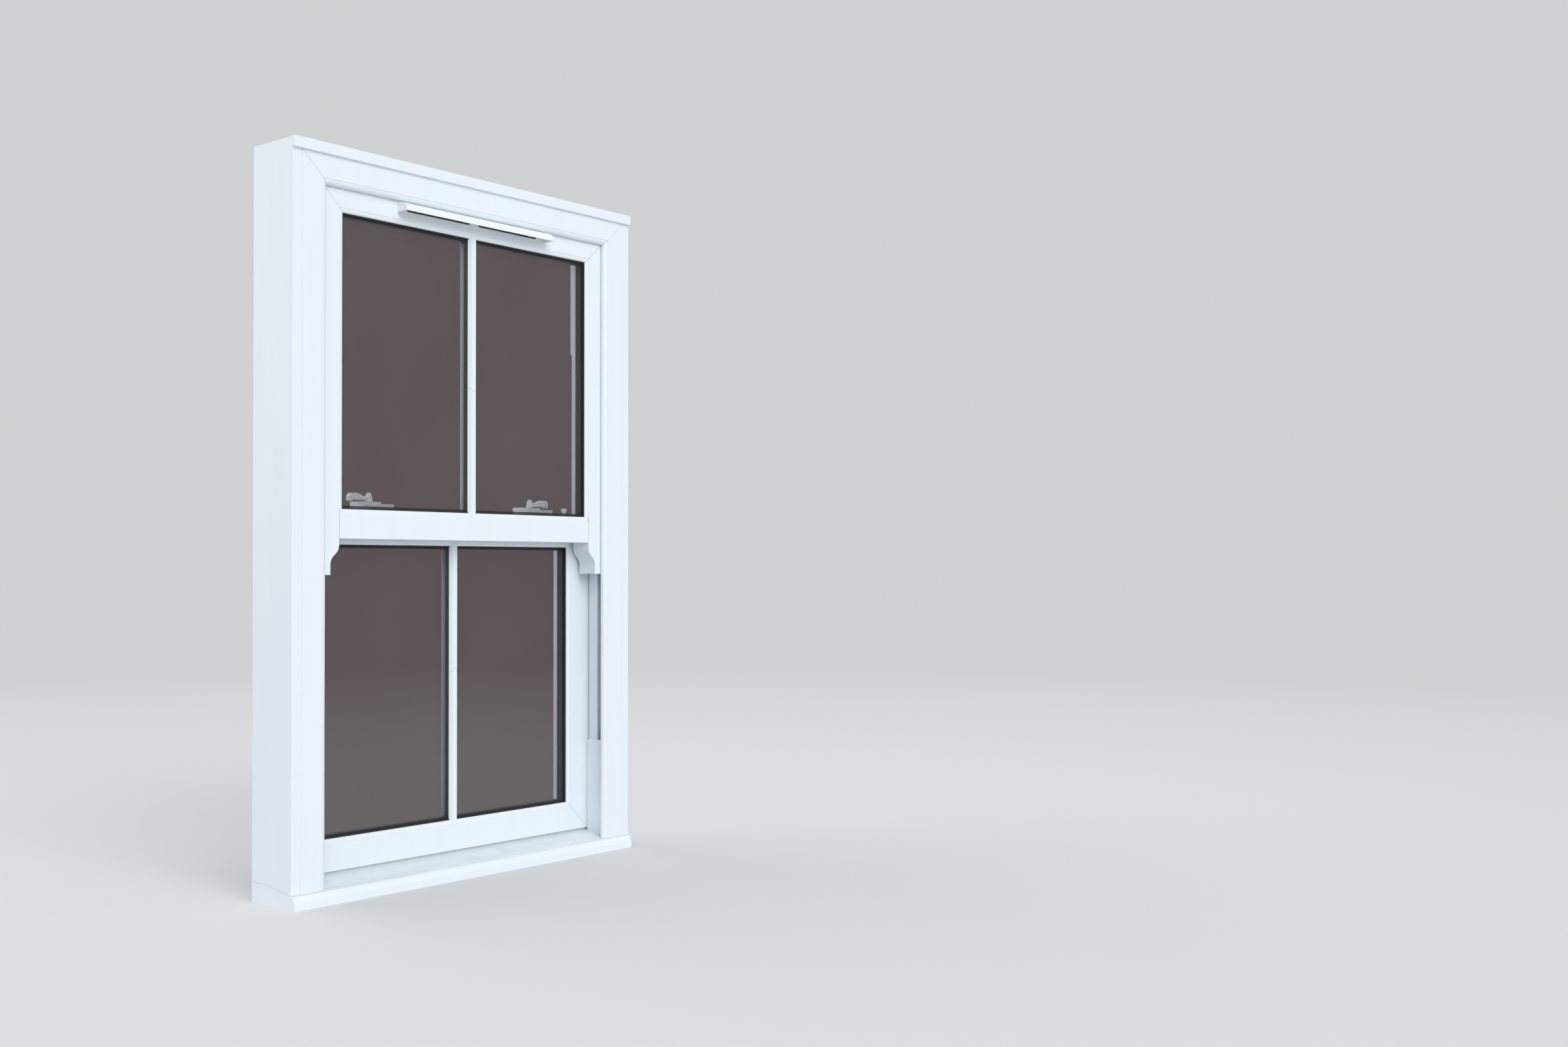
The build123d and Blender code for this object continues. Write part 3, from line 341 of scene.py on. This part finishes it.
# %% [markdown]
# ## Moulded and painted fittings
# The vent hood and the latches are moulded, a little creamier than the bars. The catches and
# lifts are die-cast metal under thick white paint, which has an orange-peel skin and rounds
# every edge. All of them are a pale skin over a fine relief, so one helper makes them, and the
# coarseness of the peel, the gloss and the clear coat set them apart.

# %% Fittings
WORN = 0.94
MOST_WORN = 0.6
GLOSSIER = 0.85
DULLER = 1.2
PEEL_DEPTH = 0.05 * MM
PAINTED_EDGE = 0.9 * MM


def skin(name, colour, roughness, peel, coat, edge=EDGE):
    """A pale moulded or painted skin with a fine peel, a little worn in patches."""
    finish = Finish(name, colour, roughness)
    patches = finish.noise(scale=60, detail=5.0)
    worn_colour = tuple(channel * WORN for channel in colour)
    worn = finish.ramp(patches, (0.35, 0.8), (0.0, MOST_WORN))
    finish.set("Base Color", finish.colours(worn, colour, worn_colour))
    gloss = (roughness * GLOSSIER, roughness * DULLER)
    finish.set("Roughness", finish.ramp(patches, (0.3, 0.7), gloss))
    finish.set("Coat Weight", coat)
    finish.relief(finish.noise(scale=peel, detail=2.0), PEEL_DEPTH, edge)
    return finish.done()


vent_white = skin("vent moulded white", (0.86, 0.895, 0.90), 0.38, peel=1200, coat=0.0)
latch_white = skin("latch moulded white", (0.80, 0.85, 0.85), 0.35, peel=900, coat=0.1)
catch_white = skin(
    "catch painted white", (0.82, 0.87, 0.865), 0.2, peel=420, coat=0.5, edge=PAINTED_EDGE
)
tube_white = skin("balance tube white", (0.78, 0.8, 0.82), 0.36, peel=300, coat=0.1)

# %% [markdown]
# ## Glass
# A pane lets most of the light through and adds a sheen of its own at both of its faces. Glass
# can be made with transmission, but a sealed unit has four faces, and refraction through all of
# them takes many bounces and turns dark. So the pane is a glossy surface with a low alpha,
# which is quick and also exports well. A thin film of dust, cloudier at some places, keeps it
# from looking like a hole. By day a window looks dark from outside because it is dim behind the
# pane, not because the glass is. That is given to the floor and the backdrop further down.

# %% Panes
GLASS_TINT = (0.03, 0.035, 0.036)
GLASS_HAZE = (0.09, 0.095, 0.1)
GLASS_ALPHA = 0.12
THIN_FILM = 0.8
THICK_FILM = 1.2
GLASS_GLOSS = (0.03, 0.06)
GLASS_IOR = 1.52
GLASS_SHEEN = 0.3
FACES_OF_A_UNIT = 4
glass = Finish("window glass", GLASS_TINT, GLASS_GLOSS[0])
film = glass.noise(scale=5, detail=3.0, stretch=(1.0, 1.0, 0.5))
film_alpha = (GLASS_ALPHA * THIN_FILM, GLASS_ALPHA * THICK_FILM)
glass.set("Alpha", glass.ramp(film, (0.0, 1.0), film_alpha))
glass.set("Roughness", glass.ramp(film, (0.3, 0.8), GLASS_GLOSS))
glass.set("IOR", GLASS_IOR)
glass.set("Specular IOR Level", GLASS_SHEEN)
glass.set("Base Color", glass.colours(glass.ramp(film, (0.2, 0.85)), GLASS_TINT, GLASS_HAZE))
window_glass = glass.done()
print("a sealed unit lets through", round((1 - GLASS_ALPHA) ** FACES_OF_A_UNIT, 2))

# %% [markdown]
# ## Spacer between the panes
# The two panes of a unit are held apart by a black bar, seen as a dark band round the glass.
# It has a row of breathing holes for the drying beads inside it. They are far too many and too
# small to cut, so they are a dot that repeats: the place along the bar is folded to and fro,
# and where the fold is near its start there is a hole. Each bar runs along X or along Z, so
# the sum of both serves every side.

# %% Spacer with breathing holes
SPACER_BLACK = (0.03, 0.03, 0.034)
HOLE_SHADE_BLACK = (0.004, 0.004, 0.004)
HOLE_PITCH = 4 * MM
HOLE_REACH = 0.6 * MM
HOLE_SHADE = 0.8
HOLE_DEPTH = 0.2 * MM
SPACER_ROUGHNESS = 0.5
spacer = Finish("black spacer", SPACER_BLACK, SPACER_ROUGHNESS)
holes = (spacer.x + spacer.z).fold(HOLE_PITCH / 2) < HOLE_REACH
# The holes are drawn darker than the bar: painted shade inside each hole, over a small dent.
spacer.set("Base Color", spacer.colours(holes * HOLE_SHADE, SPACER_BLACK, HOLE_SHADE_BLACK))
spacer.relief(holes, -HOLE_DEPTH)
spacer_black = spacer.done()

# %% [markdown]
# ## Seals and running parts
# Rubber gaskets hold the glass, a foam strip closes the foot of the window, woven pile brushes
# along the tracks and nylon shoes run in them. What tells them apart at this size is how matt
# they are and how coarse their grain is. So one helper takes a colour, a roughness, the
# fineness of the grain and its depth.

# %% Rubber, foam, pile and nylon
HIGHLIGHT_GAIN = 1.7
HIGHLIGHT_LIFT = 0.01


def matt(name, colour, roughness, grain, depth):
    """A matt finish whose grain is a little lighter on its tops, a painted highlight where light
    falls.
    """
    finish = Finish(name, colour, roughness)
    grains = finish.noise(scale=grain, detail=4.0)
    tops = tuple(min(1.0, channel * HIGHLIGHT_GAIN + HIGHLIGHT_LIFT) for channel in colour)
    # Painted highlight: the tops of the grain are lighter in colour.
    painted_highlight_share = finish.ramp(grains, (0.45, 0.8), (0.0, 0.5))
    finish.set("Base Color", finish.colours(painted_highlight_share, colour, tops))
    finish.relief(grains, depth)
    return finish.done()


gasket_black = matt("gasket rubber", (0.02, 0.02, 0.023), 0.6, grain=400, depth=0.05 * MM)
foam_grey = matt("foam strip", (0.58, 0.6, 0.62), 0.9, grain=1100, depth=0.3 * MM)
pile_grey = matt("woven pile", (0.42, 0.43, 0.45), 0.95, grain=2200, depth=0.5 * MM)
shoe_grey = matt("shoe nylon", (0.2, 0.21, 0.23), 0.5, grain=500, depth=0.05 * MM)

# %% [markdown]
# ## Zinc-plated steel
# The screws and the balance rods are steel with a thin grey plating, dull rather than bright.
# A metal shows what is around it, so its colour matters less than its roughness. Both follow
# one noise, packed closely along the rod, which gives the faint turning marks of the plating.

# %% Zinc
ZINC_DULL = (0.55, 0.56, 0.58)
ZINC_BRIGHT = (0.7, 0.7, 0.69)
ZINC_GLOSS = (0.3, 0.45)
steel = Finish("zinc plated steel", ZINC_DULL, ZINC_GLOSS[0], metallic=1.0)
plating = steel.noise(scale=180, detail=4.0, stretch=(1, 1, 8))
steel.set("Roughness", steel.ramp(plating, (0.3, 0.7), ZINC_GLOSS))
steel.set("Base Color", steel.colours(plating, ZINC_DULL, ZINC_BRIGHT))
zinc = steel.done()

# %% [markdown]
# ## Dressing the frame's nodes
# Each CAD node gets its finish by its name. What comes once is named in full, and what both
# sashes have is named without its sash. All that is left are the bars of the sashes. The upper
# and the lower one have their own whites, because their weld lines lie at different heights.

# %% Finishes of the frame, the vent and the catches
FINISHES = {
    "frame_head": frame_white,
    "frame_jamb_left": frame_white,
    "frame_jamb_right": frame_white,
    "head_cover_strip": plain_white,
    "frame_sill": sill_white,
    "sill_end_caps": plain_white,
    "sill_foam_strip": foam_grey,
    "outer_track_stops": plain_white,
    "inner_track_stops": plain_white,
    "balance_screws": zinc,
    "vent_canopy": vent_white,
    "vent_end_caps": vent_white,
    "vent_body": vent_white,
    "vent_shutter": vent_white,
    "catch_keepers": catch_white,
    "catch_housings": catch_white,
    "catch_lever_left": catch_white,
    "catch_lever_right": catch_white,
    "sash_lifts": catch_white,
}

# %% Finishes of what both sashes have
SASH_FINISHES = {
    "pane_outer": window_glass,
    "pane_inner": window_glass,
    "glass_spacer": spacer_black,
    "cavity_bar": spacer_black,
    "gaskets": gasket_black,
    "pile_seals": pile_grey,
    "latch_cases": latch_white,
    "latch_bolt_left": latch_white,
    "latch_bolt_right": latch_white,
    "balance_tubes": tube_white,
    "balance_rods": zinc,
    "shoe_left": shoe_grey,
    "shoe_right": shoe_grey,
}

# %% Give every node its finish
for name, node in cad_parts.items():
    sash, _, part = name.partition("_")
    finish = FINISHES.get(name) or SASH_FINISHES.get(part)
    if finish is None:
        finish = upper_white if sash == "upper" else lower_white
    node.data.materials.clear()
    node.data.materials.append(finish)
print(len(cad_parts), "nodes dressed")

# %% [markdown]
# ## Making a piece
# An operator acts on all that is selected, so every step starts by selecting just what it is
# meant for. A finished piece has its place in its mesh and its object at the origin, as the CAD
# nodes have, so that patterns and joints share one frame. It then rides on the body that it is
# screwed to.


# %% Helpers for selecting, settling and joining
SMOOTH_BELOW = math.radians(40)


def deselect():
    """Leave nothing selected."""
    bpy.ops.object.select_all(action="DESELECT")


def select(*objects):
    """Select these objects alone, with the first as the active one."""
    deselect()
    for obj in objects:
        obj.select_set(True)
    bpy.context.view_layer.objects.active = objects[0]


def settle(obj):
    """Put an object's place into its mesh, so that the object sits at the origin."""
    select(obj)
    bpy.ops.object.transform_apply(location=True, rotation=True, scale=True)


def make_piece(objects, name, finish, body):
    """Make one named piece of several objects, and let it ride on a body."""
    select(*objects)
    bpy.ops.object.join()
    piece = bpy.context.view_layer.objects.active
    piece.name = name
    settle(piece)
    piece.data.materials.clear()
    piece.data.materials.append(finish)
    bpy.ops.object.shade_smooth_by_angle(angle=SMOOTH_BELOW)
    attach(piece, body)
    print(name, "has", len(piece.data.polygons), "faces and rides on", body)


# %% [markdown]
# ## One crosshead screw
# The catches and the lifts are held by small pan-head screws. Only the head shows, so the shank
# is left out. The head starts as a short cylinder. Bevelling the rim of its upper face in four
# steps makes the dome, and two crossed boxes cut the recess with a boolean, which is easier
# than modelling a cross into round faces.

# %% Domed head
SCREW_RADIUS = 3.2 * MM
SCREW_HEIGHT = 1.6 * MM
SCREW_SIDES = 24
DOME_RADIUS = 0.9 * MM
DOME_STEPS = 4
deselect()
bpy.ops.mesh.primitive_cylinder_add(vertices=SCREW_SIDES, radius=SCREW_RADIUS, depth=SCREW_HEIGHT)
screw = bpy.context.object
select(screw)
bpy.ops.object.mode_set(mode="EDIT")
head = bmesh.from_edit_mesh(screw.data)
for edge in head.edges:
    edge.select_set(all(vert.co.z > 0 for vert in edge.verts))
bmesh.update_edit_mesh(screw.data)
bpy.ops.mesh.bevel(offset=DOME_RADIUS, segments=DOME_STEPS, affect="EDGES")
bpy.ops.object.mode_set(mode="OBJECT")
print("domed head has", len(screw.data.polygons), "faces")

# %% Cross recess
CROSS_LENGTH = 3.6 * MM
CROSS_WIDTH = 0.8 * MM
for angle in (0, 90):
    deselect()
    bpy.ops.mesh.primitive_cube_add(
        size=1, location=(0, 0, SCREW_HEIGHT / 2), rotation=(0, 0, math.radians(angle))
    )
    cutter = bpy.context.object
    cutter.scale = (CROSS_LENGTH, CROSS_WIDTH, SCREW_HEIGHT)
    select(screw)
    cross = screw.modifiers.new("cross", "BOOLEAN")
    cross.operation = "DIFFERENCE"
    cross.object = cutter
    bpy.ops.object.modifier_apply(modifier=cross.name)
    bpy.data.objects.remove(cutter)
print("screw has", len(screw.data.polygons), "faces")

# %% [markdown]
# ## Driving the screws
# Every screw is a copy of the one above with its own mesh, stood on the face that it holds. A
# hand never leaves two crosses at the same angle, so each is turned further than the one
# before. The steps of 37 and 41 degrees don't divide a quarter turn, so no two look alike.


# %% Placing a screw
def placed_screw(place, turn, face):
    """A copy of the screw, standing on a surface that looks along a direction."""
    copy = screw.copy()
    copy.data = screw.data.copy()
    bpy.context.collection.objects.link(copy)
    tilt = Vector((0, 0, 1)).rotation_difference(Vector(face)).to_matrix()
    turned = tilt @ Matrix.Rotation(math.radians(turn), 3, "Z")
    copy.matrix_world = turned.to_4x4()
    copy.location = place
    return copy


def four_screws(middle, half_gap, depth, height, face, first_turn, step):
    """Two screws on each side of the window, about a middle that is mirrored."""
    screws = []
    for side in (-1, 1):
        for shift in (-half_gap, half_gap):
            turn = first_turn + step * (len(screws) + 1)
            screws.append(placed_screw((side * middle + shift, depth, height), turn, face))
    return screws


# %% Screws of the catches
_, housing_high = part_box("catch_housings")
HOUSING_MIDDLE = 28 * MM
HOUSING_HALF_GAP = 17 * MM
HOUSING_SETBACK = 9 * MM
FIRST_TURN = 12
CATCH_STEP = 37
catch_screws = four_screws(
    middle=housing_high[0] - HOUSING_MIDDLE,
    half_gap=HOUSING_HALF_GAP,
    depth=housing_high[1] - HOUSING_SETBACK,
    height=housing_high[2],
    face=(0, 0, 1),
    first_turn=FIRST_TURN,
    step=CATCH_STEP,
)
make_piece(catch_screws, "catch_screws", zinc, "lower_sash")

# %% Screws of the lifts
_, lift_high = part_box("sash_lifts")
LIFT_MIDDLE = 22 * MM
LIFT_HALF_GAP = 14 * MM
LIFT_PLATE = 3 * MM
LIFT_DROP = 6 * MM
LIFT_STEP = 41
lift_screws = four_screws(
    middle=lift_high[0] - LIFT_MIDDLE,
    half_gap=LIFT_HALF_GAP,
    depth=lower_high[1] + LIFT_PLATE,
    height=lift_high[2] - LIFT_DROP,
    face=(0, 1, 0),
    first_turn=FIRST_TURN + CATCH_STEP * len(catch_screws),
    step=LIFT_STEP,
)
make_piece(lift_screws, "lift_screws", zinc, "lower_sash")
bpy.data.objects.remove(screw)

# %% [markdown]
# ## What a ray sees
# The surroundings have to be two things at once: a pale studio round the window, and dimness
# behind its panes. Light Path tells the rays apart. A ray that ends in the eye, straight,
# mirrored or through something clear, sees the backdrop as a plain colour that lights nothing,
# so the white of the window isn't washed out. A camera ray whose transparent depth is above
# zero has passed a pane, and it sees dusk. Darker glass would be simpler, but it would hide the
# pale catches behind it as well.

# %% Masks and layers
SEEN_BY = ("Is Camera Ray", "Is Glossy Ray", "Is Transmission Ray")


def ray_masks(nodes):
    """One where the backdrop is seen at all, and one where it is seen through a pane."""
    path = nodes.node("ShaderNodeLightPath").outputs
    seen = nodes.ramp(sum(Value(nodes, path[ray]) for ray in SEEN_BY), (0.0, 1.0))
    passed_pane = Value(nodes, path["Transparent Depth"]) > 0.5
    return seen, passed_pane * Value(nodes, path["Is Camera Ray"])


def layered(nodes, shader, *layers):
    """Lay shaders over one another, each by its own share."""
    for share, above in layers:
        mix = nodes.node("ShaderNodeMixShader", {}, {0: share, 1: shader, 2: above})
        shader = mix.outputs[0]
    return shader


# %% [markdown]
# ## The floor
# The window stands on a plain pale floor that takes its shadow. A plane has an edge, and the
# edge would draw a horizon. So from two metres out the floor fades into the colour of the
# backdrop, and it is large enough for the rest never to be seen.

# %% Floor plane
FLOOR_SIZE = 60
deselect()
bpy.ops.mesh.primitive_plane_add(size=FLOOR_SIZE, location=(0, 0, 0))
floor = bpy.context.object
floor.name = "floor"
print("floor is", FLOOR_SIZE, "m wide")

# %% Floor finish
FLOOR_GREY = (0.74, 0.74, 0.74)
FLOOR_ROUGHNESS = 0.8
FADE = (2.0, 7.0)
BACKDROP = (0.63, 0.635, 0.64)
DUSK = (0.145, 0.105, 0.113)
DUSK_NEAR = (0.19, 0.165, 0.165)
ground = Finish("pale floor", FLOOR_GREY, FLOOR_ROUGHNESS)
reach = ground.node("ShaderNodeVectorMath", {"operation": "LENGTH"}, {0: ground.place})
far = ground.ramp(Value(ground, reach.outputs["Value"]), FADE)
seen, behind_pane = ray_masks(ground)


def glow(colour):
    """A plain colour that needs no light."""
    return ground.node("ShaderNodeEmission", {}, {"Color": colour}).outputs[0]


backdrop_glow = glow((*BACKDROP, 1.0))
dusk_glow = glow(ground.colours(far, DUSK_NEAR, DUSK))
floor_shader = layered(
    ground, ground.surface.outputs[0], (far * seen, backdrop_glow), (behind_pane, dusk_glow)
)
ground.feed(ground.tree.nodes["Material Output"].inputs[0], floor_shader)
floor.data.materials.append(ground.done())

# %% [markdown]
# ## The world
# The world lights the window from all around with a cool sky, weakly enough for the lamps to
# draw the shadows. To the eye it is the same backdrop as the far floor, and the same dusk
# behind the panes, so no line shows where the floor ends.

# %% World
SKY = (0.88, 0.93, 1.0)
SKY_STRENGTH = 0.65
world = bpy.data.worlds.new("pale studio")
bpy.context.scene.world = world
world.use_nodes = True
studio = Nodes(world.node_tree)
seen, behind_pane = ray_masks(studio)


def light(colour, strength=1.0):
    """Light of one colour from all around."""
    sockets = {"Color": (*colour, 1.0), "Strength": strength}
    return studio.node("ShaderNodeBackground", {}, sockets).outputs[0]


world_shader = layered(
    studio, light(SKY, SKY_STRENGTH), (seen, light(BACKDROP)), (behind_pane, light(DUSK))
)
studio.feed(world.node_tree.nodes["World Output"].inputs[0], world_shader)
print("world has", len(studio.tree.nodes), "nodes")

# %% [markdown]
# ## Two broad lamps
# A window face is nearly flat, so it needs light from one side to show its steps and its
# rounded edges. An area lamp would be mirrored in the panes as a bright square. A sun lamp with
# a wide angle is as soft as a patch of sky and has no outline. One shines from above and the
# left on the outer face, and a weaker one keeps the inner side readable.


# %% Lamps
def broad_light(name, towards, strength, spread):
    """A distant lamp that shines along a direction, softened to a patch of sky."""
    data = bpy.data.lights.new(name, "SUN")
    data.energy = strength
    data.angle = math.radians(spread)
    obj = bpy.data.objects.new(name, data)
    bpy.context.collection.objects.link(obj)
    obj.rotation_euler = Vector(towards).to_track_quat("-Z", "Y").to_euler()
    print(name, "shines along", towards)


broad_light("open sky", (0.3, 0.8, -0.52), strength=1.6, spread=45)
broad_light("inner light", (0.4, -0.75, -0.5), strength=0.7, spread=60)

# %% [markdown]
# ## The camera
# The camera stands where the photograph was taken from, so that both pictures can be laid over
# each other. Its place, its turn and its lens were worked out from the window's upright and
# level edges. A small upward shift of the film keeps the uprights upright, which tilting the
# camera would not.

# %% Camera
EYE = (-2.220, -2.7365, 0.666)
YAW = math.radians(39.24)
PITCH = math.radians(0.457)
FILM_WIDTH = 36
LENS = 36.15
FILM_SHIFT = 0.020
level = math.cos(PITCH)
forward = Vector((math.cos(YAW) * level, math.sin(YAW) * level, math.sin(PITCH)))
camera_data = bpy.data.cameras.new("camera")
camera_data.sensor_width = FILM_WIDTH
camera_data.lens = LENS
camera_data.shift_y = FILM_SHIFT
camera = bpy.data.objects.new("camera", camera_data)
bpy.context.collection.objects.link(camera)
camera.location = EYE
camera.rotation_euler = forward.to_track_quat("-Z", "Y").to_euler()
bpy.context.scene.camera = camera
bpy.context.scene.view_settings.view_transform = "Standard"
print("camera at", EYE, "with a lens of", LENS)
